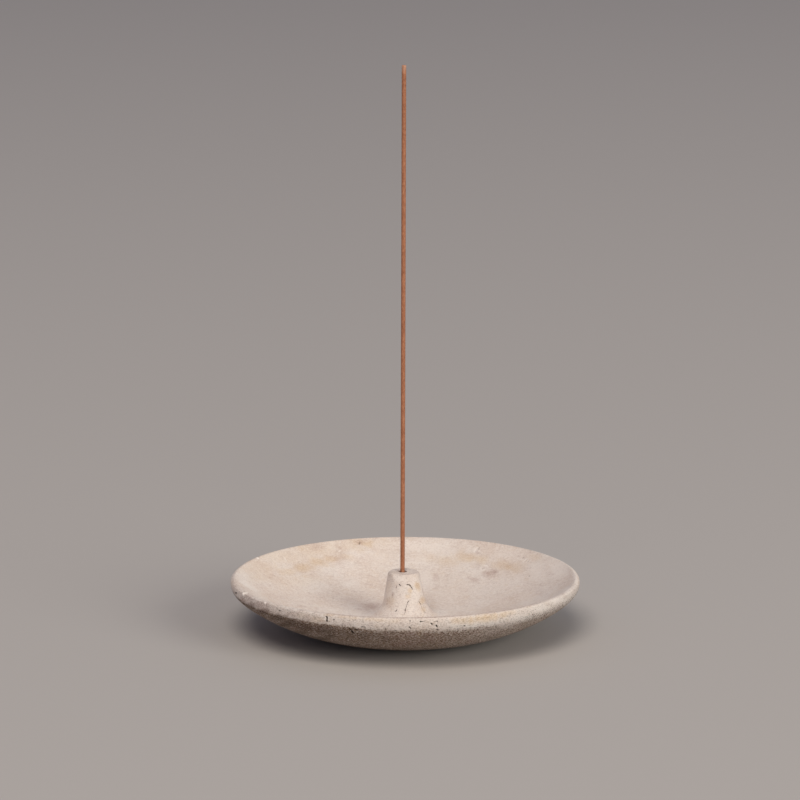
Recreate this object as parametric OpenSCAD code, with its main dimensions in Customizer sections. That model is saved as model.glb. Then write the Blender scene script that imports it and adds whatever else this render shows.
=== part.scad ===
// Stone incense dish with a central post, and the incense stick that stands in it.
// The dish, its post and the flare between them are turned and ground from one block of travertine.
// Millimetres. Z is up, the table is z = 0, and the origin is the centre of the foot.

/* [Dish] */
// Outside diameter at the widest circle of the rim
dish_d = 135; // [110:1:180]
// Height of that widest circle above the table
rim_h = 20.6; // [17:0.2:30]
// Diameter of the flat ring that the dish stands on
foot_d = 48; // [30:1:60]
// Angle at which the belly leaves the table
foot_lift = 6.5; // [3:0.5:10]
// Distance inwards from the widest circle to where the belly turns into the shoulder
shoulder_in = 6; // [4:0.5:10]
// Distance down from the widest circle to where the belly turns into the shoulder
shoulder_drop = 7; // [5:0.5:10]
// Radius that rolls the rim over from the widest circle to the crest
lip_r = 1.6; // [1:0.1:2.6]
// Radius that breaks the inner edge of the rim
inner_edge_r = 1.2; // [0.6:0.1:2]

/* [Bowl] */
// Thickness of the stone under the floor of the bowl
floor_t = 6; // [4:0.5:9]

/* [Post] */
// Height of the post above the floor of the bowl
post_rise = 18.1; // [14:0.1:24]
// Diameter of the post where its side would meet its flat top
post_top_d = 12; // [9:0.2:16]
// Slope of the post's side away from upright
post_taper = 10.7; // [4:0.1:16]
// Radius that rounds the edge of the post's top
post_edge_r = 1.2; // [0.6:0.1:2]
// Radius of the flare that runs the post out into the bowl
flare_r = 8.4; // [5:0.2:11]

/* [Hole] */
// Depth of the hole below the post's top
hole_depth = 13.5; // [9:0.2:16]
// Difference between the diameters of the hole and the stick
hole_play = 1.3; // [0.3:0.1:2]
// Width of the worn edge round the mouth of the hole
mouth_wear = 0.2; // [0.1:0.05:0.4]
// Distance from the dish's axis to the hole, which is drilled by hand, towards -X
hole_off = 0.9; // [0:0.1:1.5]

/* [Stick] */
// Diameter of the incense stick
stick_d = 1.7; // [1.3:0.1:2.6]
// Length of the incense stick, unburnt
stick_l = 210; // [120:1:260]

/* [Finish] */
// Largest distance between a turned arc and the short straights that draw it
chord_error = 0.004; // [0.002:0.001:0.02]

/* [Hidden] */

stone_colour = [0.88, 0.82, 0.76];
incense_colour = [0.64, 0.42, 0.30];

// Sides of a full turn, and straights in the shoulder curve
turn_fn = 180;
round_fn = 64;
curve_steps = 18;
// How far a cut runs past the face that it opens
overrun = 1;

// Lengths of the two handles of the shoulder curve, each a share of the line between its ends:
// the first follows on from the belly and the second hangs straight down from the widest circle
shoulder_handle_shares = [0.63, 0.26];

dish_r = dish_d / 2;
foot_r = foot_d / 2;
floor_z = floor_t;
post_top_z = floor_z + post_rise;
post_top_r = post_top_d / 2;

hole_d = stick_d + hole_play;
hole_z = post_top_z - hole_depth;

// A point at angle a on a circle round c
function on_circle(c, r, a) = c + r * [cos(a), sin(a)];

// Centre-line of an arc as short straights, without its last point, where the next stretch begins
function arc(c, r, from, to) =
    let (step = 2 * acos(1 - chord_error / r), n = max(2, ceil(abs(to - from) / step)))
    [for (i = [0 : n - 1]) on_circle(c, r, from + (to - from) * i / n)];

// A cubic curve from a to d with handles b and c, again without its last point
function curve(a, b, c, d) =
    [for (i = [0 : curve_steps - 1])
        let (t = i / curve_steps, s = 1 - t)
        s * s * s * a + 3 * s * s * t * b + 3 * s * t * t * c + t * t * t * d];

// Belly: one arc that leaves the foot at foot_lift and ends at the shoulder
foot_edge = [foot_r, 0];
shoulder = [dish_r - shoulder_in, rim_h - shoulder_drop];
belly_line = shoulder - foot_edge;
belly_line_angle = atan2(belly_line[1], belly_line[0]);
belly_r = norm(belly_line) / (2 * sin(belly_line_angle - foot_lift));
belly_c = foot_edge + belly_r * [-sin(foot_lift), cos(foot_lift)];
belly_end_angle = 2 * belly_line_angle - foot_lift;
belly = arc(belly_c, belly_r, foot_lift - 90, belly_end_angle - 90);

// Shoulder: the soft turn from the belly up to the widest circle
widest = [dish_r, rim_h];
shoulder_line = norm(widest - shoulder);
belly_handle = on_circle(shoulder, shoulder_handle_shares[0] * shoulder_line, belly_end_angle);
rim_handle = widest - [0, shoulder_handle_shares[1] * shoulder_line];
shoulder_curve = curve(shoulder, belly_handle, rim_handle, widest);

// Flare: an arc that touches both the side of the post and the floor of the bowl
flare_z = floor_z + flare_r;
flare_c = [post_top_r + (flare_r + (post_top_z - flare_z) * sin(post_taper)) / cos(post_taper), flare_z];
flare = arc(flare_c, flare_r, 270, 180 + post_taper);

// Rim: over the crest, and down the broken inner edge until it touches the bowl's arc
crest_r = dish_r - lip_r;
lip_c = [crest_r, rim_h];
lip = arc(lip_c, lip_r, 0, 90);
inner_edge_c = [crest_r, rim_h + lip_r - inner_edge_r];

// Bowl: one arc that touches the inner edge and runs level where the flare begins
bowl_w = crest_r - flare_c[0];
bowl_h = inner_edge_c[1] - floor_z;
bowl_r = (bowl_w * bowl_w + bowl_h * bowl_h - inner_edge_r * inner_edge_r) / (2 * (bowl_h + inner_edge_r));
bowl_c = [flare_c[0], floor_z + bowl_r];
bowl_end_angle = atan2(bowl_w, bowl_r - bowl_h);
inner_edge = arc(inner_edge_c, inner_edge_r, 90, 90 + bowl_end_angle);
bowl = arc(bowl_c, bowl_r, bowl_end_angle - 90, -90);

// Top of the post: the rounded edge between the tapered side and the flat top
post_edge_z = post_top_z - post_edge_r;
post_edge_x = post_top_r + (post_edge_r * sin(post_taper) - post_edge_r) / cos(post_taper);
post_edge = arc([post_edge_x, post_edge_z], post_edge_r, post_taper, 90);

// Half of the dish's section, from the middle of the foot round to the middle of the post's top
dish_outline = concat(
    [[0, 0]],
    belly,
    shoulder_curve,
    lip,
    inner_edge,
    bowl,
    flare,
    [on_circle(flare_c, flare_r, 180 + post_taper)],
    post_edge,
    [[post_edge_x, post_top_z], [0, post_top_z]]
);

module at_hole() {
    translate([-hole_off, 0, 0]) children();
}

module stick_hole() {
    at_hole() {
        translate([0, 0, hole_z])
            cylinder(d = hole_d, h = hole_depth + overrun, $fn = round_fn);
        translate([0, 0, post_top_z - mouth_wear])
            cylinder(d1 = hole_d, d2 = hole_d + 4 * mouth_wear, h = 2 * mouth_wear, $fn = round_fn);
    }
}

module dish() {
    color(stone_colour)
        difference() {
            rotate_extrude($fn = turn_fn) polygon(dish_outline);
            stick_hole();
        }
}

module incense_stick() {
    color(incense_colour)
        at_hole()
            translate([0, 0, hole_z])
                cylinder(d = stick_d, h = stick_l, $fn = round_fn);
}

dish();
incense_stick();
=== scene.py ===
import math
import random
from collections import namedtuple

import bmesh
import bpy
from bpy.props import FloatProperty, FloatVectorProperty, IntProperty, PointerProperty
from bpy.types import Operator, Panel, PropertyGroup
from mathutils import Matrix, Vector, kdtree, noise
from mathutils.bvhtree import BVHTree


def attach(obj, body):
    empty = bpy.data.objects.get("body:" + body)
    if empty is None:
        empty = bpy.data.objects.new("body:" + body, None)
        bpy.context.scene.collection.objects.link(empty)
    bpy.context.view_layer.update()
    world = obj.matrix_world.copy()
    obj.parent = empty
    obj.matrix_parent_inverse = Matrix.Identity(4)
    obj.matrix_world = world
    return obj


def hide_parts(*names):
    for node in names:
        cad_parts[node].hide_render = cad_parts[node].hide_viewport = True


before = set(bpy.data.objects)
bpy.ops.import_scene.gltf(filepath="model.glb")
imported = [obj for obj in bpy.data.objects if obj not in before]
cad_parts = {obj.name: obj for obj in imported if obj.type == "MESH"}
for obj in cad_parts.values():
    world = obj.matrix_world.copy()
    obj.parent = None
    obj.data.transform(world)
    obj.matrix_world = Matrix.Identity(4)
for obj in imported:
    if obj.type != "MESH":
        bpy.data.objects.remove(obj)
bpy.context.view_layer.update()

bl_info = {
    "name": "Travertine incense dish",
    "version": (1, 0, 0),
    "blender": (4, 5, 0),
    "location": "View3D > Sidebar > Incense dish",
    "description": "A carved travertine dish with a drilled post, and the incense stick that stands in it",
    "category": "Add Mesh",
}

MM = 0.001

# The photograph is square. Its camera was fitted to the dish's outline: the focal length in pixels,
# the angle down to the middle of the rim, and that middle and the rim's radius in the picture.
PHOTO_SIDE = 800
PHOTO_FOCAL = 4100
RIM_VIEW_ANGLE = math.radians(13.96)
RIM_CENTRE_PIXEL = (405.09, 580.19)
RIM_RADIUS_PIXELS = 174.46
SENSOR_WIDTH = 36
# The pixels in the lists of marks were read this much too high.
READ_HIGH = 0.4

# Sides of the turned pieces, and the distance under which two of their points are one
DISH_SIDES = 288
STICK_SIDES = 24
MERGE = 1e-4 * MM
# Sides of the round floor, and its radius in metres
FLOOR_SIDES = 96
FLOOR_RADIUS = 9
# Room for a node in the node editor
NODE_COLUMN = 220
NODE_ROW = 260

# A pit, slit, chip or scratch: its place, the outward direction there, its radius and depth, and how
# strongly it is coloured
Mark = namedtuple("Mark", "spot normal radius depth strength")

# Values that the mesh carries for the stone's material: how coarse the face is; where it was left raw, with
# a border set partly as painted shade; the painted shade inside its pits; its stains of iron, of clay with
# painted shade among them, and of calcite with painted light among them; and painted shade on the belly
STONE_LAYERS = ("coarse", "raw_and_shade", "pit_shade", "ochre", "umber_and_shade", "chalk_and_light", "painted_shade")

# Open pits that the photograph shows: pixel, radius and depth in millimetres
PHOTO_PITS = (
    # outer band and shoulder
    (333.8, 619.3, 0.31, 0.35), (362.0, 626.6, 0.24, 0.3), (366.2, 632.8, 0.41, 0.4),
    (370.3, 627.8, 0.25, 0.3), (385.5, 628.7, 0.39, 0.5), (395.9, 630.4, 0.25, 0.3),
    (410.0, 620.4, 0.25, 0.3), (420.6, 621.3, 0.32, 0.6), (437.4, 621.1, 0.25, 0.35),
    (437.5, 629.6, 0.41, 0.6), (457.9, 628.8, 0.31, 0.45), (464.5, 625.8, 0.41, 0.65),
    (465.0, 630.3, 0.31, 0.5), (474.8, 627.2, 0.24, 0.3), (246.6, 595.2, 0.2, 0.2),
    (236.2, 590.6, 0.2, 0.2), (268.5, 610.0, 0.2, 0.2), (279.5, 610.3, 0.38, 0.4),
    (361.6, 626.8, 0.28, 0.3),
    # side of the post
    (399.5, 584.4, 0.3, 0.45), (400.6, 585.3, 0.24, 0.25), (405.1, 609.5, 0.34, 0.6),
    (420.6, 603.6, 0.24, 0.4), (425.2, 611.8, 0.28, 0.35), (392.1, 594.6, 0.24, 0.25),
    # inside of the bowl
    (529.1, 575.6, 0.31, 0.35), (257.8, 556.5, 0.6, 0.6),
)

# Slits and cracks: the pixels that they run through, half their width and their depth in millimetres, and
# how dark the painted shade inside them is
PHOTO_SLITS = (
    # outer band and shoulder
    (((326.6, 616.7), (326.7, 617.7)), 0.5, 0.9, 1.0),
    (((326.7, 617.7), (327.0, 619.2)), 0.26, 0.5, 0.9),
    (((327.0, 619.2), (326.8, 620.6)), 0.28, 0.5, 0.9),
    (((326.8, 620.6), (326.7, 621.3)), 0.42, 0.8, 1.0),
    (((348.9, 627.6), (350.6, 629.0), (352.2, 631.2)), 0.27, 0.5, 0.9),
    (((352.2, 631.4), (353.2, 633.0)), 0.44, 0.8, 1.0),
    (((355.9, 629.0), (357.9, 629.5)), 0.32, 0.5, 0.9),
    (((409.3, 627.0), (410.8, 628.5)), 0.27, 0.5, 0.9),
    (((431.0, 623.1), (432.6, 624.4)), 0.27, 0.5, 0.9),
    (((436.1, 625.0), (437.2, 626.6)), 0.27, 0.5, 0.9),
    (((234.9, 592.6), (236.9, 592.6)), 0.32, 0.35, 0.8),
    # side of the post
    (((407.0, 584.3), (408.9, 584.3), (410.6, 585.6)), 0.25, 0.45, 0.7),
    (((410.6, 585.6), (411.9, 587.6), (412.9, 589.2)), 0.2, 0.35, 0.6),
    (((408.8, 600.6), (407.6, 602.4)), 0.22, 0.35, 0.7),
    (((407.6, 602.4), (406.8, 605.0), (405.9, 607.6), (405.1, 609.5)), 0.15, 0.25, 0.35),
    (((405.1, 609.5), (405.1, 611.7), (404.2, 614.0), (402.4, 615.2)), 0.15, 0.2, 0.3),
    (((395.5, 610.8), (396.3, 610.1), (396.9, 609.3)), 0.24, 0.4, 0.7),
    (((418.9, 601.0), (420.6, 603.6)), 0.2, 0.3, 0.55),
    (((420.6, 603.6), (422.0, 607.6), (424.9, 611.7)), 0.16, 0.2, 0.25),
    (((396.7, 585.6), (396.0, 587.8)), 0.16, 0.2, 0.3),
    # inside of the bowl
    (((359.6, 541.8), (359.4, 544.0)), 0.3, 0.3, 0.5),
    (((478.4, 548.8), (479.6, 546.6)), 0.22, 0.15, 0.3),
    (((522.6, 558.0), (523.8, 556.6)), 0.2, 0.12, 0.3),
    (((527.6, 561.6), (528.8, 560.4)), 0.2, 0.12, 0.3),
    (((482.6, 568.0), (483.8, 567.2)), 0.35, 0.2, 0.25),
)

# Pale scratches, rings of calcite and bruised edges of slits, in the same form
PHOTO_SCRATCHES = (
    # inside of the bowl
    (((474.4, 551.2), (476.4, 548.8), (478.0, 546.4)), 0.42, 0.1, 0.7),
    (((472.2, 550.4), (473.4, 548.6)), 0.31, 0.06, 0.8),
    (((479.0, 550.9), (480.0, 549.8)), 0.36, 0.06, 0.9),
    (((523.6, 561.0), (525.6, 559.4), (527.0, 558.0)), 0.44, 0.1, 1.0),
    (((529.8, 560.6), (531.2, 559.0)), 0.29, 0.06, 0.6),
    (((480.8, 566.2), (480.4, 568.4), (482.4, 569.9), (485.2, 569.0)), 0.46, 0.05, 0.6),
    (((484.2, 565.1), (487.0, 565.0), (487.8, 566.8)), 0.46, 0.05, 0.6),
    (((284.2, 557.0), (285.4, 559.0), (287.0, 560.8)), 0.39, 0.05, 0.6),
    (((339.2, 551.0), (340.6, 549.8)), 0.5, 0.06, 0.6),
    # outer band
    (((325.2, 617.2), (325.3, 619.8)), 0.36, 0.04, 1.0),
    (((328.3, 617.2), (328.4, 620.4)), 0.36, 0.04, 1.0),
    (((351.6, 630.9), (353.4, 631.2)), 0.29, 0.05, 0.8),
    (((357.0, 631.4), (358.6, 631.6)), 0.29, 0.05, 0.8),
    (((430.2, 623.0), (430.6, 624.2)), 0.29, 0.05, 0.8),
    (((435.2, 626.0), (435.4, 627.2)), 0.29, 0.05, 0.6),
    (((252.4, 597.0), (253.6, 597.8)), 0.36, 0.05, 0.8),
    (((264.6, 602.4), (266.0, 602.9)), 0.36, 0.05, 1.0),
)

# Soft stains, as they show: pixel, half-width and half-height in pixels, and strength. Ochre is iron in the
# stone. Umber is clay in the stone, and some of the umber stains are painted shade. The painted shade stains
# darken the pores of the raw face where the belly is in shade. Chalk is pale calcite, and some of the chalk
# stains are painted light.
OCHRE_STAINS = (
    # the left wall, and the clouds in it
    (262, 566, 36, 10, 0.16), (285, 556, 38, 10, 0.2), (315, 549, 38, 10, 0.24),
    (345, 545, 34, 9, 0.2), (373, 543, 26, 8, 0.12), (300, 580, 31, 8, 0.14),
    (262, 577, 20, 6, 0.14), (288, 571.5, 13, 4.5, 0.32), (303, 567, 14, 5, 0.42),
    (317, 562, 13, 5, 0.44), (331, 558.5, 12, 4.5, 0.4), (345, 556, 12, 4, 0.24),
    # round the slit in the back wall, and the back wall to the right of the stick
    (358, 541.5, 9, 4, 0.34), (366, 543, 11, 5, 0.42), (362, 549, 7, 3, 0.24),
    (430, 558, 12, 5, 0.2), (447, 560, 14, 5, 0.24), (468, 557, 14, 6, 0.42),
    (481, 559, 11, 5, 0.36), (503, 564, 10, 6, 0.3), (508.6, 567, 5, 3.5, 0.44),
    (517, 567, 10, 7, 0.24), (536, 557, 9, 4, 0.2),
    # strip along the rim, front right
    (456, 620.3, 6, 3.6, 0.36), (463, 620, 6, 4.4, 0.46), (471, 619.4, 6, 4.8, 0.56),
    (479, 618.4, 6, 4.8, 0.58), (487, 617.2, 6, 4.8, 0.58), (495, 616, 6, 4.8, 0.56),
    (503, 614.6, 6, 4.2, 0.5), (511, 612.4, 5, 3, 0.3),
    # along the rim, front left
    (302, 615, 14, 4, 0.18), (319, 619.5, 11, 3.4, 0.3), (330, 614.6, 8, 1.6, 0.28),
    (342, 616.4, 8, 1.6, 0.3), (355, 617.8, 8, 1.8, 0.32), (368, 618.8, 8, 2, 0.32),
    (381, 619.6, 8, 2.2, 0.28), (394, 620.4, 8, 2.4, 0.2),
    # post
    (416.6, 584, 2.6, 2.6, 0.6), (418, 586.5, 2.6, 3.2, 0.6), (419, 589.8, 2, 2.4, 0.35),
    (422.6, 600, 3.8, 3.6, 0.5), (420, 603, 2.6, 2.6, 0.25), (409.8, 590.4, 2.6, 3.2, 0.45),
    (407.8, 596, 3.6, 2.2, 0.4), (423.4, 609, 3, 3, 0.3), (389, 589, 4, 8, 0.3),
    (390, 600, 6, 7, 0.28), (386.5, 608, 5, 4, 0.1),
)
UMBER_AND_SHADE_STAINS = (
    # outer band and belly, left: painted shade of the side turned away from the main light, in red-brown
    (250, 597.5, 7, 4, 0.28), (262, 604, 8, 4.2, 0.38), (292, 613.5, 10, 4.2, 0.26),
    (308, 617.6, 9, 3.6, 0.24), (324, 620, 8, 3, 0.16), (243, 600, 5, 3, 0.46),
    (252, 604.5, 7, 3.4, 0.5), (264, 610, 8, 3.8, 0.5), (300, 626, 24, 7, 0.35),
    # belly, front: clay stains, and painted shade of the belly
    (430, 638, 8, 5, 0.24), (441, 641, 8, 4, 0.14), (412, 634, 7, 3, 0.32),
    (398, 637, 5, 3, 0.3), (388, 634.5, 6, 3, 0.3), (404, 643, 12, 5, 0.4),
    (426.5, 633.5, 4, 1.6, 0.4), (441.6, 633, 4, 1.6, 0.4), (475, 632, 6, 3, 0.16),
    (497, 632, 7, 3, 0.3), (470, 642, 10, 3, 0.3),
    # inside of the bowl
    (494, 571.6, 4.6, 3.2, 0.62), (488, 573, 5.5, 3.4, 0.52), (490.5, 574, 9, 5.5, 0.3),
    (474, 579, 7, 3.4, 0.36), (435.4, 577.7, 5, 4.4, 0.36), (436.2, 587, 4, 3, 0.18),
    (551.4, 573, 5, 3.5, 0.16), (508, 566, 3.4, 3, 0.12), (359.5, 542.5, 5, 3.4, 0.3),
    (477, 566, 9, 4, 0.12), (470, 554.5, 9, 4, 0.08), (340, 555, 10, 14, 0.2),
    # (370, 606) is a painted shadow: the post's shadow on the floor of the bowl, to its left
    (318, 545.5, 10, 5, 0.28), (370, 606, 11, 4, 0.36), (300, 597, 44, 11, 0.08),
    (482, 592, 12, 10, 0.06), (541, 592, 5, 5, 0.09),
    # inner edge of the rim, front left: painted shade where the edge rolls away from the light
    (303, 609.8, 7, 0.9, 0.22), (316, 611.4, 6, 0.9, 0.3), (299.5, 605.4, 2.6, 1, 0.45),
    (304, 606.2, 2.3, 1, 0.35), (315.7, 607.7, 2.3, 1, 0.3),
    # post
    (416.8, 584.4, 2.0, 1.8, 0.14), (418.4, 586.8, 1.8, 2.2, 0.12), (423.2, 600.6, 2.8, 2.8, 0.06),
    (396, 586, 2, 2, 0.2), (392.6, 594.6, 1.8, 3, 0.28), (389, 602, 4, 5, 0.06),
)
PAINTED_SHADE_STAINS = (
    # belly, left and front: painted shade, darkest under the border of the raw face where the shoulder turns
    # from the light
    (252, 605.5, 6, 3, 0.36), (264, 611.5, 8, 3.4, 0.5), (278, 617.5, 10, 4, 0.62),
    (291, 623, 12, 5.5, 0.68), (306, 627.5, 14, 6, 0.62), (324, 630, 14, 6.5, 0.58),
    (347, 634, 14, 7, 0.34), (364, 636, 14, 7, 0.34), (384, 638, 13, 7, 0.22),
    (361, 632.5, 6, 2, 0.3), (375, 633.5, 7, 2.4, 0.3), (392, 631.5, 7, 2, 0.2),
    (441, 633, 6, 2, 0.15), (284, 625, 9, 3.4, 0.68), (301, 632, 11, 3.6, 0.7),
    (321, 638, 13, 3.6, 0.66), (330, 635.5, 8, 3.6, 0.66),
)
CHALK_AND_LIGHT_STAINS = (
    # post: the flat at its top edge, which is fresh pale stone, and painted light on its top and sides
    (397.6, 577.2, 4.4, 3.6, 1.0), (401, 578.4, 4.2, 3.8, 1.0), (396.4, 579.8, 2.8, 2.4, 0.9),
    (404, 577, 3, 2.4, 0.5), (410, 571.5, 6, 2, 0.4), (389, 590, 4, 12, 0.42),
    (417, 592, 5, 14, 0.22), (414, 579, 5, 5, 0.4),
    # pale vein in the left wall
    (243, 581.5, 4, 2, 0.6), (247.5, 584.5, 4.4, 2.2, 0.65), (252, 587.5, 4.4, 2.2, 0.6),
    (256, 590, 3.5, 1.8, 0.4),
    # paler areas of the bowl
    (392, 545, 18, 6, 0.36), (414, 545, 20, 8, 0.6), (434, 547, 22, 8, 0.5),
    # (384, 609) is painted light on the left of the post's flare, where the post's shadow falls
    (420, 557, 12, 8, 0.45), (380, 557, 14, 10, 0.3), (384, 609, 8, 5, 0.6),
    (428, 580, 12, 12, 0.5), (446, 591, 20, 13, 0.3), (510, 550, 22, 7, 0.3),
    (526, 598, 12, 9, 0.4), (505, 603, 14, 5, 0.25), (558, 569, 12, 12, 0.75),
    (538, 574, 12, 9, 0.5), (520, 581, 10, 8, 0.3), (507, 555, 18, 9, 0.35),
    # outer band, front
    (337, 616, 2.1, 1, 0.5), (353.6, 617.6, 1.8, 0.9, 0.5), (386, 618.8, 10, 3, 0.3),
    (418, 622, 10, 4, 0.34), (430, 619.5, 9, 2, 0.3),
    # outer band and belly, right: painted light on the side that faces the main light
    (492, 630, 14, 5, 0.2), (505, 626, 12, 4, 0.4), (520, 618, 14, 4, 0.75),
    (541, 609, 11, 4, 0.8), (557, 600, 9, 4, 0.85), (568, 590, 6, 5, 0.8),
    (575, 577, 4, 8, 0.8),
)

# Chips knocked off the rim: pixel, radius and depth in millimetres. Their fresh faces all look one way.
PHOTO_CHIPS = (
    (243.4, 592.9, 1.3, 0.32), (246.0, 592.4, 1.1, 0.3), (265.3, 602.2, 0.7, 0.22),
    (257.6, 557.4, 0.8, 0.2),
)
CHIP_FACE = Vector((0.15, -0.62, 0.77)).normalized()
# The way that the flat ground on the front left of the post's top edge looks
POST_FLAT_FACE = Vector((-0.385, -0.845, 0.37)).normalized()


def hex_colour(code):
    """A colour given as an sRGB hex value, as the linear red, green, blue and alpha that Blender keeps."""
    parts = [int(code[i:i + 2], 16) / 255 for i in (1, 3, 5)]
    return tuple(c / 12.92 if c <= 0.04045 else ((c + 0.055) / 1.055) ** 2.4 for c in parts) + (1.0,)


def length(name, description, millimetres):
    """A length property with its default in millimetres."""
    return FloatProperty(name=name, description=description, default=millimetres * MM,
                         min=0, precision=5, unit="LENGTH", subtype="DISTANCE")


def angle(name, description, degrees):
    """An angle property with its default in degrees."""
    return FloatProperty(name=name, description=description, default=math.radians(degrees), subtype="ANGLE")


def watts(name, description, power):
    """A property for the power of a light."""
    return FloatProperty(name=name, description=description, default=power, min=0, unit="POWER")


def colour(name, description, code):
    """A colour property with its default as an sRGB hex value."""
    return FloatVectorProperty(name=name, description=description, default=hex_colour(code),
                               size=4, min=0, max=1, subtype="COLOR")


class DishSizes(PropertyGroup):
    """Sizes of the carved dish and its post."""

    diameter: length("Diameter", "Outside diameter at the widest circle of the rim", 135)
    rim_height: length("Rim height", "Height of that widest circle above the table", 20.6)
    foot: length("Foot", "Diameter of the flat face that the dish stands on", 48)
    foot_lift: angle("Foot lift", "Angle at which the belly leaves the table", 6.5)
    shoulder_in: length("Shoulder in", "Distance inwards from the widest circle to the shoulder", 6)
    shoulder_drop: length("Shoulder drop", "Distance down from the widest circle to the shoulder", 7)
    lip: length("Lip", "Radius that rolls the rim over to its crest", 1.6)
    inner_edge: length("Inner edge", "Radius that breaks the inner edge of the rim", 1.2)
    floor: length("Floor", "Thickness of the stone under the floor of the bowl", 6)
    post_rise: length("Post rise", "Height of the post above the floor of the bowl", 18.1)
    post_top: length("Post top", "Diameter of the post where its side would meet its top", 12)
    post_taper: angle("Post taper", "Slope of the post's side away from upright", 10.7)
    post_edge: length("Post edge", "Radius that rounds the edge of the post's top", 1.2)
    post_lean: length("Post lean", "Distance that the ground top of the post lies towards -X", 0.5)
    flare: length("Flare", "Radius of the flare that runs the post out into the bowl", 8.4)
    hole: length("Hole", "Diameter of the hole for the stick", 3.0)
    hole_depth: length("Hole depth", "Depth of the hole below the post's top", 13.5)
    hole_off: length("Hole offset", "Distance from the dish's axis to the hole, towards -X", 0.9)
    mouth: length("Hole mouth", "Width of the worn edge round the mouth of the hole", 0.2)
    post_flat: length("Post flat", "Depth of the flat ground on the front left of the post's top edge", 0.45)
    rim_rise: length("Rim rise", "Height that the front of the rim stands above the rest of it", 0.6)
    belly_fill: length("Belly fill", "How much fuller the left of the belly is than its arc", 0.25)
    unevenness: length("Unevenness", "Most that the ground face falls short of the true turned shape", 0.08)
    pits: IntProperty(name="Pits", description="Number of pits scattered over the stone", default=170, min=0)
    seed: IntProperty(name="Seed", description="Seed of the scattered pits", default=7)


class StickSizes(PropertyGroup):
    """Sizes of the incense stick."""

    diameter: length("Diameter", "Diameter of the incense stick", 1.7)
    height: length("Length", "Length of the incense stick, unburnt", 210)
    base_shift: length("Base shift", "Distance of the stick's foot from the hole's middle, towards -X", 0.14)
    lean: angle("Lean", "Angle that the loose stick leans towards +X", 0.16)
    grain: length("Grain", "Most that the pressed paste is uneven", 0.035)
    pale_end: length("Pale end", "Length of the top end that dried out paler", 4)


class StoneLook(PropertyGroup):
    """Colours of the travertine."""

    pale: colour("Pale", "Palest bands of the honed stone", "#EBE2DE")
    warm: colour("Warm", "Warmer bands of the honed stone", "#E0D1C9")
    ochre: colour("Ochre", "Stains of iron in the stone", "#D6B585")
    # Umber also paints shade: on the left of the band and belly, along the rim's inner edge, the post's
    # shadow and the hole
    umber_and_shade: colour("Umber", "Red-brown patches of clay in the stone", "#9F7467")
    # Chalk also paints light: on the right of the band and belly, on the post and on its flare
    chalk_and_light: colour("Chalk", "Fresh chips and calcite rings", "#F5EDE9")
    # The raw colour is darker than the stone alone, as painted shade of the belly.
    raw_and_shade: colour("Raw", "Unhoned outer face, with dust in its pores", "#A08571")
    dust: colour("Dust", "Dust and shade between the grains of the raw face", "#56402B")
    # The dark inside the pits, slits and the hole is painted shade of their hollows
    pit_shade: colour("Pit", "Inside of the open pits", "#37281F")


class IncenseLook(PropertyGroup):
    """Colours of the incense paste."""

    paste: colour("Paste", "Pressed paste of ground wood", "#B17658")
    dark: colour("Dark", "Darker grains of wood and resin", "#82503A")
    light: colour("Light", "Paler grains of wood", "#CF9A7B")
    end: colour("End", "Top end, which dried out paler", "#C69A84")


class StageLook(PropertyGroup):
    """The floor and the light."""

    floor: colour("Floor", "Plain pale floor", "#C4C1C1")
    world: colour("Room", "Even light of the room", "#E7E4F2")
    world_strength: FloatProperty(name="Room strength", description="Strength of that light", default=0.24)
    key: colour("Key", "Colour of the main light", "#FFFBEC")
    key_power: watts("Key power", "Power of the main light", 168)
    key_turn: angle("Key turn", "Angle of the main light to the right of the viewer", 45)
    key_rise: angle("Key rise", "Angle of the main light above the floor", 20)
    fill: colour("Fill", "Colour of the second light", "#FFF4E4")
    fill_power: watts("Fill power", "Power of the second light", 175)
    fill_turn: angle("Fill turn", "Angle of the second light to the right of the viewer", -10)
    fill_rise: angle("Fill rise", "Angle of the second light above the floor", 50)
    light_far: length("Light distance", "Distance of both lights from the dish", 6000)
    light_size: length("Light size", "Width of each soft light", 3300)


def smooth_step(low, high, value):
    """0 below low, 1 above high, and an even curve between them. high may be the smaller of the two."""
    t = min(max((value - low) / (high - low), 0), 1)
    return t * t * (3 - 2 * t)


def on_circle(centre, radius, angle):
    return centre + radius * Vector((math.cos(angle), math.sin(angle)))


def arc(centre, radius, start, end, spacing):
    """Points along an arc of the section, without its last one, where the next stretch begins."""
    count = max(3, math.ceil(abs(end - start) * radius / spacing))
    return [on_circle(centre, radius, start + (end - start) * i / count) for i in range(count)]


def straight(start, end, spacing):
    """Points along a straight of the section, without its last one."""
    count = max(1, math.ceil((end - start).length / spacing))
    return [start.lerp(end, i / count) for i in range(count)]


def curve(a, b, c, d, count):
    """Points along a cubic curve from a to d with handles b and c, without its last one."""
    points = []
    for i in range(count):
        t = i / count
        s = 1 - t
        points.append(s * s * s * a + 3 * s * s * t * b + 3 * s * t * t * c + t * t * t * d)
    return points


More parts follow.
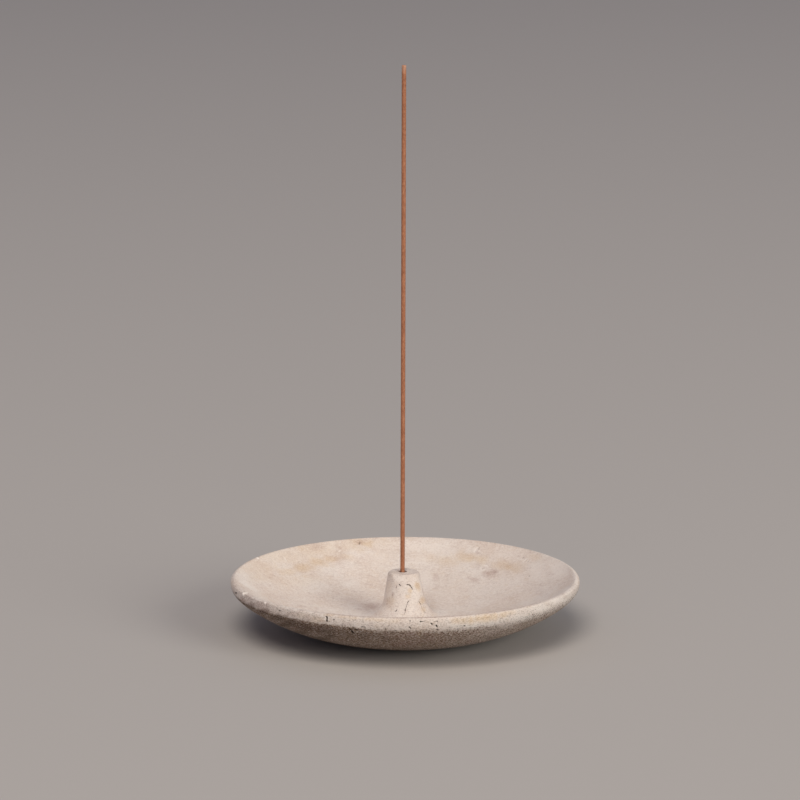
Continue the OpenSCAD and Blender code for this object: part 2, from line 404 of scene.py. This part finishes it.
def dish_section(size):
    """Half of the dish's section, from the middle of the foot round to the bottom of the hole.

    Each stretch is its points, as (radius, height), and how coarse the stone's face is at its start and at
    its end, from 0 for honed to 1 for as ground."""
    radius = size.diameter / 2
    post_top_z = size.floor + size.post_rise
    post_top_r = size.post_top / 2
    taper = size.post_taper
    # Distances between points, and the shoulder curve's handles as shares of the line between its ends
    sparse, loose, wide, close, fine = 4 * MM, 1.6 * MM, 1.0 * MM, 0.7 * MM, 0.28 * MM
    shoulder_points, belly_share, rim_share = 13, 0.63, 0.26

    foot_edge = Vector((size.foot / 2, 0))
    shoulder = Vector((radius - size.shoulder_in, size.rim_height - size.shoulder_drop))
    belly_line = shoulder - foot_edge
    belly_line_angle = math.atan2(belly_line.y, belly_line.x)
    belly_r = belly_line.length / (2 * math.sin(belly_line_angle - size.foot_lift))
    belly_c = foot_edge + belly_r * Vector((-math.sin(size.foot_lift), math.cos(size.foot_lift)))
    belly_end = 2 * belly_line_angle - size.foot_lift

    widest = Vector((radius, size.rim_height))
    shoulder_line = (widest - shoulder).length
    belly_handle = on_circle(shoulder, belly_share * shoulder_line, belly_end)
    rim_handle = widest - Vector((0, rim_share * shoulder_line))

    crest_r = radius - size.lip
    lip_c = Vector((crest_r, size.rim_height))
    inner_edge_c = Vector((crest_r, size.rim_height + size.lip - size.inner_edge))

    flare_z = size.floor + size.flare
    flare_x = post_top_r + (size.flare + (post_top_z - flare_z) * math.sin(taper)) / math.cos(taper)
    flare_c = Vector((flare_x, flare_z))

    bowl_w = crest_r - flare_x
    bowl_h = inner_edge_c.y - size.floor
    bowl_r = (bowl_w ** 2 + bowl_h ** 2 - size.inner_edge ** 2) / (2 * (bowl_h + size.inner_edge))
    bowl_c = Vector((flare_x, size.floor + bowl_r))
    bowl_end = math.atan2(bowl_w, bowl_r - bowl_h)

    edge_x = post_top_r + (size.post_edge * math.sin(taper) - size.post_edge) / math.cos(taper)
    edge_c = Vector((edge_x, post_top_z - size.post_edge))
    flare_end = on_circle(flare_c, size.flare, math.pi + taper)

    quarter = math.pi / 2
    hole_r = size.hole / 2
    mouth = Vector((hole_r + size.mouth, post_top_z))
    hole_edge = Vector((hole_r, post_top_z - size.mouth))
    hole_foot = Vector((hole_r, post_top_z - size.hole_depth))
    hole_middle = Vector((0, hole_foot.y))
    return [
        (straight(Vector((0, 0)), foot_edge, sparse), 1.0, 1.0),
        (arc(belly_c, belly_r, size.foot_lift - quarter, belly_end - quarter, wide), 1.0, 1.0),
        (curve(shoulder, belly_handle, rim_handle, widest, shoulder_points), 1.0, 1.0),
        (arc(lip_c, size.lip, 0, quarter, fine), 1.0, 0.5),
        (arc(inner_edge_c, size.inner_edge, quarter, quarter + bowl_end, fine / 2), 0.5, 0.1),
        (arc(bowl_c, bowl_r, bowl_end - quarter, -quarter, wide), 0.0, 0.0),
        (arc(flare_c, size.flare, 3 * quarter, math.pi + taper, close), 0.02, 0.08),
        (straight(flare_end, on_circle(edge_c, size.post_edge, taper), close), 0.08, 0.08),
        (arc(edge_c, size.post_edge, taper, quarter, fine), 0.08, 0.1),
        (straight(Vector((edge_x, post_top_z)), mouth, close), 0.1, 0.1),
        (straight(mouth, hole_edge, fine), 0.4, 0.6),
        (straight(hole_edge, hole_foot, loose), 0.8, 0.8),
        (straight(hole_foot, hole_middle, close) + [hole_middle], 0.8, 0.8),
    ]


def put_in_order(bm):
    """Sorts points by place, and edges and faces by their points. Some operators leave them in an order that
    changes from run to run, and with it the last digit of what is worked out from them."""
    def points(element):
        return sorted(v.index for v in element.verts)

    for elements, key in ((bm.verts, lambda v: v.co[:]), (bm.edges, points), (bm.faces, points)):
        for i, element in enumerate(sorted(elements, key=key)):
            element.index = i
        elements.sort()
        elements.index_update()


def turned(section, sides, layer_names):
    """A closed solid: the section is spun through a quarter turn and mirrored twice. Its first layer is how
    coarse the face is, and the others are empty."""
    bm = bmesh.new()
    for name in layer_names:
        bm.verts.layers.float.new(name)
    layer = bm.verts.layers.float[layer_names[0]]
    line = []
    for points, first, last in section:
        for i, point in enumerate(points):
            line.append(bm.verts.new((point.x, 0, point.y)))
            line[-1][layer] = last + (first - last) * (1 - i / len(points)) ** 2
    edges = [bm.edges.new(pair) for pair in zip(line, line[1:])]
    bmesh.ops.spin(bm, geom=line + edges, cent=(0, 0, 0), axis=(0, 0, 1), angle=math.pi / 2,
                   steps=sides // 4, use_merge=False)
    for axis in "XY":
        bmesh.ops.mirror(bm, geom=bm.verts[:] + bm.edges[:] + bm.faces[:], matrix=Matrix.Identity(4),
                         merge_dist=MERGE, axis=axis)
    bmesh.ops.remove_doubles(bm, verts=bm.verts[:], dist=MERGE)
    bmesh.ops.recalc_face_normals(bm, faces=bm.faces[:])
    put_in_order(bm)
    return bm


def add_piece(bm, name, material, body, node):
    """Makes the finished mesh an object that rides on its body and stands for its CAD node."""
    put_in_order(bm)
    mesh = bpy.data.meshes.new(name)
    bm.to_mesh(mesh)
    bm.free()
    mesh.materials.append(material)
    mesh.polygons.foreach_set("use_smooth", [True] * len(mesh.polygons))
    piece = bpy.data.objects.new(name, mesh)
    bpy.context.scene.collection.objects.link(piece)
    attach(piece, body)
    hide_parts(node)


def camera_place(size):
    """Where the photograph was taken from: the camera's place, and its forward, right and up directions."""
    x, y = (p - PHOTO_SIDE / 2 for p in RIM_CENTRE_PIXEL)
    pitch = RIM_VIEW_ANGLE - math.atan(y / PHOTO_FOCAL)
    forward = Vector((0, math.cos(pitch), -math.sin(pitch)))
    up = Vector((0, math.sin(pitch), math.cos(pitch)))
    right = Vector((1, 0, 0))
    scale = size.diameter / 2 / RIM_RADIUS_PIXELS
    place = Vector((0, 0, size.rim_height)) + scale * (-PHOTO_FOCAL * forward - x * right + y * up)
    return place, forward, right, up


def photo_spot(tree, size, pixel):
    """The place and outward direction of the stone's face behind a pixel of the photograph."""
    place, forward, right, up = camera_place(size)
    x, y = pixel[0] - PHOTO_SIDE / 2, pixel[1] + READ_HIGH - PHOTO_SIDE / 2
    ray = (PHOTO_FOCAL * forward + x * right - y * up).normalized()
    spot, normal, _, _ = tree.ray_cast(place, ray)
    if spot is None:
        raise RuntimeError(f"pixel {pixel} of the photograph misses the dish")
    return spot, normal


def to_corner(out, up, radius):
    """How far a point of a rounded edge, out and up from the rounding's centre, lies inside a sharp one."""
    corner = abs(abs(math.atan2(up, out) - math.pi / 4) - math.pi / 4)
    return radius * (1 / math.cos(corner) - 1) if out > 0 and up > 0 else 0


def grind(bm, size):
    """Moves the turned shape to how it was ground by hand: the hole off the axis, the post's top leaning and
    with a small flat, the rim a little higher and crisper in front, the belly fuller, and a face that is
    nowhere quite true. The dish stays in its box."""
    hole_edge = size.hole / 2 + size.mouth
    top = size.floor + size.post_rise
    top_edge = size.post_top / 2 - size.post_edge
    rim, crest = size.rim_height, size.diameter / 2 - size.lip
    lean_starts, lean_full = 16 * MM, 8 * MM
    wide_swell, small_swell = 26 * MM, 7 * MM
    flat_side = Vector((POST_FLAT_FACE.x, POST_FLAT_FACE.y, 0)).normalized()
    flat_edge = Vector((0, 0, top)) + size.post_top / 2 * flat_side
    bm.normal_update()
    for v in bm.verts:
        r, z = v.co.xy.length, v.co.z
        on_post = r < size.post_top
        across, front = v.co.x / max(r, MM), -v.co.y / max(r, MM)

        # A rounded edge moves out towards a sharp one.
        if on_post:
            crisp = 0.9 * smooth_step(0, 0.5, front)
            crisp *= to_corner(r - top_edge, z - top + size.post_edge, size.post_edge)
        else:
            crisp = (0.8 - 0.3 * smooth_step(0.6, 0.9, front)) * smooth_step(0.05, 0.4, front)
            crisp *= to_corner(r - crest, z - rim, size.lip)

        # The belly is fullest on the right, under the shoulder.
        belly = 0
        if v.normal.z < 0:
            belly = 1 + 0.7 * smooth_step(0, 0.5, across)
            belly *= smooth_step(size.foot / 2, 0.75 * crest, r) * smooth_step(rim, 0.6 * rim, z)

        # The foot and the post's top are true.
        fall = 0.65 * noise.noise(v.co / wide_swell) + 0.35 * noise.noise(v.co / small_swell)
        untrue = smooth_step(0, 2.5 * MM, z) * (smooth_step(top, top - 3 * MM, z) if on_post else 1)
        v.co += v.normal * (crisp + size.belly_fill * belly
                            - size.unevenness * untrue * min(max(0.5 + fall, 0), 1))

        near_rim = smooth_step(0.8 * crest, crest, r) * smooth_step(0.7 * rim, rim, z)
        v.co.z += size.rim_rise * max(front, 0) ** 1.5 * near_rim
        over = POST_FLAT_FACE.dot(v.co - flat_edge) + size.post_flat
        if over > 0 and z > rim and on_post:
            v.co -= POST_FLAT_FACE * over

        lean = size.post_lean * smooth_step(size.floor, top, z) * smooth_step(lean_starts, lean_full, r)
        inner = smooth_step(top_edge, hole_edge, r) if z > size.floor else 0
        v.co.x -= lean * (1 - inner) + size.hole_off * inner


def weather(bm, size):
    """Sets where the stone was left raw, which is browner, under an uneven border below the rim. The border
    is higher and sharper on the left and lower on the right, so that it follows where the shoulder turns
    away from the main light: painted shade. Also sets the thin broken line of painted shade along the front
    of the rim's inner edge, a slightly darker top of the post, and the hole's wall, darkened as painted
    shade of the deep hole and with ash."""
    coarse, raw_and_shade, umber_and_shade, pit_shade = (bm.verts.layers.float[name] for name in ("coarse", "raw_and_shade", "umber_and_shade", "pit_shade"))
    top = size.floor + size.post_rise
    inner_edge_r = size.diameter / 2 - size.lip
    for v in bm.verts:
        r, z = v.co.xy.length, v.co.z
        across, front = v.co.x / max(r, MM), -v.co.y / max(r, MM)
        if r > size.foot / 2 and v[coarse]:
            left, right = smooth_step(0, 0.42, -across), smooth_step(0.1, 0.55, across)

            # The border's depth below the widest circle, and half the width over which it blends. It lies
            # higher on the left, which is in shade, and lower on the right, which is lit: painted shade.
            wander = (0.8 - 0.4 * left) * noise.noise(v.co / (5 * MM))
            depth = (3.2 - 1.3 * left + 0.5 * right - wander) * MM
            blend = (1.5 - left) * MM
            border = size.rim_height - depth
            v[raw_and_shade] = smooth_step(border + blend, border - blend, z)

            # The band over the border is sandy, and its right end is coarse as well.
            sandy = 0.26 + 0.08 * max(left, right)
            right_end = 0.9 * smooth_step(0.5, 0.75, across) * smooth_step(0, 3 * MM, size.rim_height - z)
            v[coarse] *= sandy + (1 - sandy) * max(v[raw_and_shade] ** (1 - 0.5 * right), right_end)
            # The raw colour is weaker on the right, which faces the main light: painted light.
            v[raw_and_shade] *= 1 - 0.25 * right
        # A thin broken line of painted shade along the front of the rim's inner edge, where the edge rolls
        # away from the light
        if z > size.rim_height:
            line = max(1 - abs(r - inner_edge_r - 0.2 * MM) / (0.9 * MM), 0)
            shown = smooth_step(0.5, 0.95, front) * smooth_step(-0.62, -0.3, across)
            v[umber_and_shade] = 0.65 * line * shown * min(max(0.75 + 0.5 * noise.noise(v.co / (9 * MM)), 0), 1)
        # The post's top is made a little darker. The hole's wall is darkened, as painted shade of the deep
        # hole and with ash.
        if r < size.post_top / 2 and z > size.rim_height:
            v[umber_and_shade] = 0.1 if z > top - 0.3 * MM else 0
            from_hole = (v.co.xy + Vector((size.hole_off, 0))).length
            if z < top - 0.5 * size.mouth and from_hole < size.hole / 2 + size.mouth:
                v[umber_and_shade], v[pit_shade] = 1.0, 0.3


def tree_of(places):
    """A tree that finds which of the places are near a spot, and gives their numbers."""
    tree = kdtree.KDTree(len(places))
    for i, place in enumerate(places):
        tree.insert(place, i)
    tree.balance()
    return tree


def refine_round(bm, marks, levels, margin):
    """Splits the faces near each mark, a finer ring at each level, so that small pits have a shape."""
    tree = tree_of([mark.spot for mark in marks])
    widest = max(mark.radius for mark in marks)
    for level in range(levels):
        ring = margin / 2 ** level
        near = set()
        for face in bm.faces:
            middle = face.calc_center_median()
            if any(d < marks[i].radius + ring for _, i, d in tree.find_range(middle, widest + ring)):
                near.update(face.edges)
        split = [edge for edge in bm.edges if edge in near]
        bmesh.ops.subdivide_edges(bm, edges=split, cuts=1, use_grid_fill=True)


def sink(bm, marks, layer, floor_share):
    """Sinks the stone at each mark to its depth. The outline is broken, and the walls are steep."""
    tree = tree_of([mark.spot for mark in marks])
    reach = 1.5 * max(mark.radius for mark in marks)
    moves = []
    for v in bm.verts:
        rag = 1 + 0.5 * noise.noise(v.co / (0.4 * MM))
        push, strength = Vector(), 0
        for _, i, distance in tree.find_range(v.co, reach):
            share = smooth_step(1, floor_share, distance * rag / marks[i].radius)
            if share * marks[i].depth > push.length:
                push = marks[i].normal * share * marks[i].depth
            strength = max(strength, share * marks[i].strength)
        if strength:
            moves.append((v, push, strength))
    for v, push, strength in moves:
        v.co -= push
        v[layer] = max(v[layer], strength)


def chip(bm, marks, layer):
    """Knocks a flat chip off an edge at each mark, and shows the fresh stone there."""
    verts = bm.verts[:]
    tree = tree_of([v.co for v in verts])
    for mark in marks:
        for _, i, distance in tree.find_range(mark.spot, mark.radius):
            v = verts[i]
            share = smooth_step(1, 0.6, distance / mark.radius)
            v.co -= mark.normal * share * max(mark.normal.dot(v.co - mark.spot) + mark.depth, 0)
            v[layer] = max(v[layer], share * mark.strength)


def stain(bm, tree, size, spots, layer, rag_size, rag):
    """Paints soft-edged stains into a layer of the mesh. Each has the outline that it shows in the
    photograph, so on a face seen at a low angle it runs on in depth."""
    _, _, right, up = camera_place(size)
    pixel_size = size.diameter / 2 / RIM_RADIUS_PIXELS
    verts = bm.verts[:]
    near = tree_of([v.co for v in verts])
    for *pixel, across, tall, strength in spots:
        middle = photo_spot(tree, size, pixel)[0]
        for _, i, _ in near.find_range(middle, 1.4 * pixel_size * max(across, 4 * tall)):
            v = verts[i]
            offset = (v.co - middle) / pixel_size
            distance = math.hypot(offset.dot(right) / across, offset.dot(up) / tall)
            share = smooth_step(1.25, 0.2, distance * (1 + rag * noise.noise(v.co / rag_size)))
            v[layer] = max(v[layer], share * strength)


def scattered_pits(tree, size, draw):
    """Pits in clusters all over the stone, most on the raw outer face and along the bedding of the block.
    Where the photograph shows the stone they are no more than specks."""
    marks = []
    radius = size.diameter / 2
    camera = camera_place(size)[0]
    while len(marks) < size.pits:
        # Somewhere on the outer or the inner face, straight below or above it
        turn, outside = draw.uniform(0, 2 * math.pi), draw.random() < 0.8
        r = radius * math.sqrt(draw.uniform(0.2, 1) if outside else draw.uniform(0.01, 0.9))
        lucky, big = draw.random(), draw.random() ** 2
        far = -size.diameter if outside else size.diameter
        start = Vector((r * math.cos(turn), r * math.sin(turn), far))
        spot, normal, _, _ = tree.ray_cast(start, Vector((0, 0, -far)))
        if spot is None:
            continue

        # Clusters 9 mm and 3 mm wide, three times flatter than they are wide
        bed = Vector((spot.x, spot.y, 3 * spot.z))
        cluster = 0.5 + noise.noise(bed / (9 * MM)) + 0.5 * noise.noise(bed / (3 * MM))
        if lucky > smooth_step(0.3, 1.0, cluster):
            continue

        seen = tree.ray_cast(camera, spot - camera)[0]
        if (seen - spot).length < 0.3 * MM:
            big = -0.1
        pit_r = (0.17 + 0.32 * big) * (1 if outside else 0.75) * MM
        marks.append(Mark(spot, normal, pit_r, 1.4 * pit_r, 0.6 + 0.4 * max(big, 0)))
    return marks


def photo_lines(tree, size, lines):
    """Slits or scratches, each as a row of marks along its line on the mesh."""
    marks = []
    for pixels, half_width, depth, strength in lines:
        spots = [photo_spot(tree, size, pixel) for pixel in pixels]
        for (start, normal), (end, _) in zip(spots, spots[1:]):
            for place in straight(start, end, 0.5 * half_width * MM):
                broken = 1 + 0.35 * noise.noise(place / (0.8 * MM))
                marks.append(Mark(place, normal, half_width * MM * broken, depth * MM, strength * broken))
    return marks


def add_node(tree, kind, inputs=(), out=None, **settings):
    """Adds a node with its settings, and gives the output that out names, or its first one. An input that is
    given an output is linked to it. Of the sockets that share a name, the one in use is meant."""
    node = tree.nodes.new(kind)
    for name, value in settings.items():
        setattr(node, name, value)
    column = 0
    for key, value in dict(inputs).items():
        in_use = [socket for socket in node.inputs if socket.enabled and socket.name == key]
        socket = in_use[0] if in_use else node.inputs[key]
        if isinstance(value, bpy.types.NodeSocket):
            tree.links.new(value, socket)
            column = max(column, value.node.location.x + NODE_COLUMN)
        else:
            socket.default_value = value
    row = sum(1 for other in tree.nodes if other != node and other.location.x == column)
    node.location = (column, -NODE_ROW * row)
    outputs = [socket for socket in node.outputs if socket.enabled and out in (None, socket.name)]
    return outputs[0] if outputs else None


def new_material(name):
    material = bpy.data.materials.new(name)
    material.use_nodes = True
    material.node_tree.nodes.clear()
    return material, material.node_tree


def lay_finishes(tree, under, rows):
    """Lays one colour after another over the first. Each row is a colour, the pattern that breaks it up,
    the pattern's values where it starts and is full, the layer that says where it lies, and how strong it is
    where that layer is 0 and where it is 1."""
    for tint, pattern, start, full, layer, least, most in rows:
        broken = add_node(tree, "ShaderNodeMapRange",
                          {"Value": pattern, "From Min": start, "From Max": full})
        strength = add_node(tree, "ShaderNodeMapRange", {"Value": layer, "To Min": least, "To Max": most})
        amount = add_node(tree, "ShaderNodeMath", {0: broken, 1: strength}, operation="MULTIPLY")
        under = add_node(tree, "ShaderNodeMix", {"Factor": amount, "A": under, "B": tint}, data_type="RGBA")
    return under


def honed_travertine(look):
    """Travertine, a banded limestone full of small holes. Honing gives the bowl an even, matt, slightly
    clouded face. The outer face was left as ground, so it is sandy, and raw under the rim, so it is browner;
    that brown is also painted shade of the belly. The dark of the pits is painted shade, and some clay and
    calcite stains are painted shade and painted light."""
    material, tree = new_material("honed_travertine")
    place = add_node(tree, "ShaderNodeTexCoord", out="Object")
    coarse, raw_and_shade, pit_shade, ochre, umber_and_shade, chalk_and_light, painted_shade = (
        add_node(tree, "ShaderNodeAttribute", out="Fac", attribute_name=name) for name in STONE_LAYERS)

    # The clouds lie in the block's bedding, so the patterns are flatter than they are wide. The last one is
    # the grains, 0.3 mm in the stone and drawn 0.7 mm so that they show.
    bedding = add_node(tree, "ShaderNodeMapping", {"Vector": place, "Scale": (1.0, 1.0, 1.6)})
    clouds, mottle, pores, grain = (
        add_node(tree, "ShaderNodeTexNoise", {"Vector": bedding, "Scale": 1 / (width * MM), "Detail": detail,
                                              "Roughness": roughness})
        for width, detail, roughness in (
            (20, 5.0, 0.55), (3.2, 4.0, 0.65), (1.5, 3.0, 0.5), (0.7, 3.0, 0.75)))

    stone = lay_finishes(tree, look.pale, (
        (look.warm, clouds, 0.38, 0.62, raw_and_shade, 1.0, 0.3),
        (look.raw_and_shade, mottle, 0.15, 0.4, raw_and_shade, 0.0, 0.95),
        (look.ochre, mottle, 0.54, 0.74, raw_and_shade, 0.2, 0.3),
        (look.umber_and_shade, mottle, 0.46, 0.3, coarse, 0.2, 0.58),
        (look.chalk_and_light, pores, 0.5, 0.66, coarse, 0.44, 0.2),
        (look.ochre, pores, -0.1, 0.5, ochre, 0.0, 1.0),
        # Clay stains, and painted shade and shadow
        (look.umber_and_shade, pores, 0.0, 0.5, umber_and_shade, 0.0, 1.0),
        (look.dust, grain, 0.47, 0.40, coarse, 0.11, 1.0),
        (look.chalk_and_light, grain, 0.53, 0.60, coarse, 0.34, 0.7),
        # Painted shade on the belly, laid as dust in the pores
        (look.dust, mottle, 0.1, 0.55, painted_shade, 0.0, 1.0),
        # Calcite, and painted light
        (look.chalk_and_light, grain, 0.32, 0.43, chalk_and_light, 0.0, 1.0),
        # Painted shade inside the pits, slits and hole
        (look.pit_shade, pores, -1.0, 0.0, pit_shade, 0.0, 1.0),
    ))
    rough = add_node(tree, "ShaderNodeMapRange", {"Value": coarse, "To Min": 0.58, "To Max": 0.92})
    height = add_node(tree, "ShaderNodeMapRange", {"Value": coarse, "To Min": 0.2, "To Max": 2.0})
    relief = add_node(tree, "ShaderNodeMath", {0: grain, 1: height}, operation="MULTIPLY")
    bump = add_node(tree, "ShaderNodeBump", {"Height": relief, "Distance": 0.8 * MM, "Strength": 0.8})
    shader = add_node(tree, "ShaderNodeBsdfPrincipled",
                      {"Base Color": stone, "Roughness": rough, "Normal": bump, "IOR": 1.56,
                       "Specular IOR Level": 0.35, "Diffuse Roughness": 0.3})
    add_node(tree, "ShaderNodeOutputMaterial", {"Surface": shader})
    return material


def pressed_incense(look):
    """Incense paste: ground wood and binder pressed through a die and dried. It is quite matt, with dark and
    pale grains that show as a fine speckle drawn out along the stick."""
    material, tree = new_material("pressed_incense_paste")
    place = add_node(tree, "ShaderNodeTexCoord", out="Object")
    end = add_node(tree, "ShaderNodeAttribute", out="Fac", attribute_name="end")

    # The wood is ground to about 0.15 mm. Its grains are drawn 0.5 mm so that they show, and longer along
    # the stick.
    drawn = add_node(tree, "ShaderNodeMapping", {"Vector": place, "Scale": (1.0, 1.0, 0.45)})
    grain = add_node(tree, "ShaderNodeTexNoise", {"Vector": drawn, "Scale": 1 / (0.5 * MM), "Detail": 3.0,
                                                  "Roughness": 0.7})
    change = add_node(tree, "ShaderNodeTexNoise", {"Vector": place, "Scale": 1 / (9 * MM), "Detail": 2.0})

    paste = lay_finishes(tree, look.paste, (
        (look.dark, grain, 0.5, 0.3, end, 0.75, 0.4),
        (look.light, grain, 0.54, 0.75, end, 0.8, 0.8),
        (look.dark, change, 0.35, 0.65, end, 0.25, 0.0),
        (look.end, grain, 0.2, 0.5, end, 0.0, 0.8),
    ))
    bump = add_node(tree, "ShaderNodeBump", {"Height": grain, "Distance": 0.12 * MM, "Strength": 0.8})
    shader = add_node(tree, "ShaderNodeBsdfPrincipled",
                      {"Base Color": paste, "Roughness": 0.82, "Normal": bump, "IOR": 1.5,
                       "Specular IOR Level": 0.3})
    add_node(tree, "ShaderNodeOutputMaterial", {"Surface": shader})
    return material


def painted_floor(look):
    """Matt painted board, which gives the eye nothing but the soft shadow on it."""
    material, tree = new_material("matt_painted_board")
    shader = add_node(tree, "ShaderNodeBsdfPrincipled", {"Base Color": look.floor, "Roughness": 0.9,
                                                         "Specular IOR Level": 0.2})
    add_node(tree, "ShaderNodeOutputMaterial", {"Surface": shader})
    return material


class INCENSE_OT_dish(Operator):
    """Turn the dish and its post from their section, and open the pits of the stone"""

    bl_idname = "incense.dish"
    bl_label = "Travertine dish"

    def execute(self, context):
        size = context.scene.dish_sizes
        bm = turned(dish_section(size), DISH_SIDES, STONE_LAYERS)
        grind(bm, size)
        tree = BVHTree.FromBMesh(bm)
        pits = [Mark(*photo_spot(tree, size, pixel), radius * MM, depth * MM, 0.9)
                for *pixel, radius, depth in PHOTO_PITS]
        pits += photo_lines(tree, size, PHOTO_SLITS)
        pits += scattered_pits(tree, size, random.Random(size.seed))
        chips = [Mark(photo_spot(tree, size, pixel)[0], CHIP_FACE, radius * MM, depth * MM, 1)
                 for *pixel, radius, depth in PHOTO_CHIPS]
        scratches = photo_lines(tree, size, PHOTO_SCRATCHES)
        refine_round(bm, pits + chips + scratches, levels=3, margin=0.6 * MM)

        layer = bm.verts.layers.float
        weather(bm, size)
        for name, spots, rag_size, rag in (
                ("ochre", OCHRE_STAINS, 3.5 * MM, 0.5), ("umber_and_shade", UMBER_AND_SHADE_STAINS, 1.6 * MM, 0.7),
                ("chalk_and_light", CHALK_AND_LIGHT_STAINS, 0.7 * MM, 0.7), ("painted_shade", PAINTED_SHADE_STAINS, 1.6 * MM, 0.6)):
            stain(bm, tree, size, spots, layer[name], rag_size, rag)
        # Iron fills the pores, so the stone is smoother there.
        for v in bm.verts:
            v[layer["coarse"]] *= 1 - 0.7 * v[layer["ochre"]]
        chip(bm, chips, layer["chalk_and_light"])
        sink(bm, scratches, layer["chalk_and_light"], floor_share=0.5)
        # The pits and slits are darkened inside with painted shade.
        sink(bm, pits, layer["pit_shade"], floor_share=0.6)
        bmesh.ops.triangulate(bm, faces=[face for face in bm.faces if len(face.verts) > 4])
        material = honed_travertine(context.scene.stone_look)
        add_piece(bm, "travertine_dish", material, "dish", "dish")
        return {"FINISHED"}


class INCENSE_OT_stick(Operator):
    """Press the incense stick and stand it loosely in its hole"""

    bl_idname = "incense.stick"
    bl_label = "Incense stick"

    def execute(self, context):
        dish, size = context.scene.dish_sizes, context.scene.stick_sizes
        radius = size.diameter / 2
        foot = dish.floor + dish.post_rise - dish.hole_depth
        top = foot + size.height
        worn, spacing, grain_size = 0.12 * MM, 0.5 * MM, 0.8 * MM
        corners = [Vector(c) for c in ((0, foot), (radius - worn, foot), (radius, foot + worn),
                                       (radius, top - worn), (radius - worn, top), (0, top))]
        section = [(straight(a, b, spacing), 0, 0) for a, b in zip(corners, corners[1:])]
        section.append(([corners[-1]], 0, 0))
        bm = turned(section, STICK_SIDES, ("end",))
        end = bm.verts.layers.float["end"]
        bm.normal_update()
        for v in bm.verts:
            side = smooth_step(foot, foot + worn, v.co.z) * smooth_step(top, top - worn, v.co.z)
            v[end] = smooth_step(top - size.pale_end, top, v.co.z)
            v.co -= v.normal * side * size.grain * noise.noise(v.co / grain_size)
            v.co.x += (v.co.z - foot) * math.tan(size.lean) - size.base_shift - dish.hole_off
        material = pressed_incense(context.scene.incense_look)
        add_piece(bm, "pressed_incense_stick", material, "stick", "incense_stick")
        return {"FINISHED"}


class INCENSE_OT_stage(Operator):
    """Lay the pale floor, and set the light and the camera of the photograph"""

    bl_idname = "incense.stage"
    bl_label = "Stage"

    def execute(self, context):
        scene, look, size = context.scene, context.scene.stage_look, context.scene.dish_sizes

        bm = bmesh.new()
        bmesh.ops.create_circle(bm, cap_ends=True, segments=FLOOR_SIDES, radius=FLOOR_RADIUS)
        mesh = bpy.data.meshes.new("floor")
        bm.to_mesh(mesh)
        bm.free()
        mesh.materials.append(painted_floor(look))
        floor = bpy.data.objects.new("floor", mesh)
        scene.collection.objects.link(floor)

        world = bpy.data.worlds.new("even_room_light")
        world.use_nodes = True
        world.node_tree.nodes.clear()
        background = add_node(world.node_tree, "ShaderNodeBackground", {"Color": look.world,
                                                                        "Strength": look.world_strength})
        add_node(world.node_tree, "ShaderNodeOutputWorld", {"Surface": background})
        scene.world = world

        for name, tint, power, turn, rise in (
                ("soft_key", look.key, look.key_power, look.key_turn, look.key_rise),
                ("soft_fill", look.fill, look.fill_power, look.fill_turn, look.fill_rise)):
            lamp = bpy.data.lights.new(name, "AREA")
            lamp.shape, lamp.size, lamp.energy, lamp.color = "DISK", look.light_size, power, tint[:3]
            light = bpy.data.objects.new(name, lamp)
            away = Vector((math.sin(turn) * math.cos(rise), -math.cos(turn) * math.cos(rise),
                           math.sin(rise)))
            light.location = away * look.light_far
            light.rotation_euler = away.to_track_quat("Z", "Y").to_euler()
            scene.collection.objects.link(light)

        place, forward, _, _ = camera_place(size)
        camera = bpy.data.objects.new("camera", bpy.data.cameras.new("camera"))
        camera.data.sensor_width = SENSOR_WIDTH
        camera.data.lens = PHOTO_FOCAL / PHOTO_SIDE * SENSOR_WIDTH
        camera.location = place
        camera.rotation_euler = (math.pi / 2 + math.asin(forward.z), 0, 0)
        scene.collection.objects.link(camera)
        scene.camera = camera
        scene.view_settings.view_transform = "Standard"
        return {"FINISHED"}


class INCENSE_PT_sidebar(Panel):
    """Lists the sizes and colours, and the buttons that make each piece"""

    bl_idname = "INCENSE_PT_sidebar"
    bl_label = "Incense dish"
    bl_space_type = "VIEW_3D"
    bl_region_type = "UI"
    bl_category = "Incense dish"

    def draw(self, context):
        for group_name, operator in (("dish_sizes", "incense.dish"), ("stone_look", None),
                                     ("stick_sizes", "incense.stick"), ("incense_look", None),
                                     ("stage_look", "incense.stage")):
            group = getattr(context.scene, group_name)
            column = self.layout.box().column()
            for name in group.__annotations__:
                column.prop(group, name)
            if operator:
                column.operator(operator)


GROUPS = {"dish_sizes": DishSizes, "stick_sizes": StickSizes, "stone_look": StoneLook,
          "incense_look": IncenseLook, "stage_look": StageLook}
CLASSES = (*GROUPS.values(), INCENSE_OT_dish, INCENSE_OT_stick, INCENSE_OT_stage, INCENSE_PT_sidebar)


def register():
    for cls in CLASSES:
        bpy.utils.register_class(cls)
    for name, group in GROUPS.items():
        setattr(bpy.types.Scene, name, PointerProperty(type=group))


def unregister():
    for name in GROUPS:
        delattr(bpy.types.Scene, name)
    for cls in reversed(CLASSES):
        bpy.utils.unregister_class(cls)


def main():
    register()
    bpy.ops.incense.stage()
    bpy.ops.incense.dish()
    bpy.ops.incense.stick()


if __name__ == "__main__":
    main()
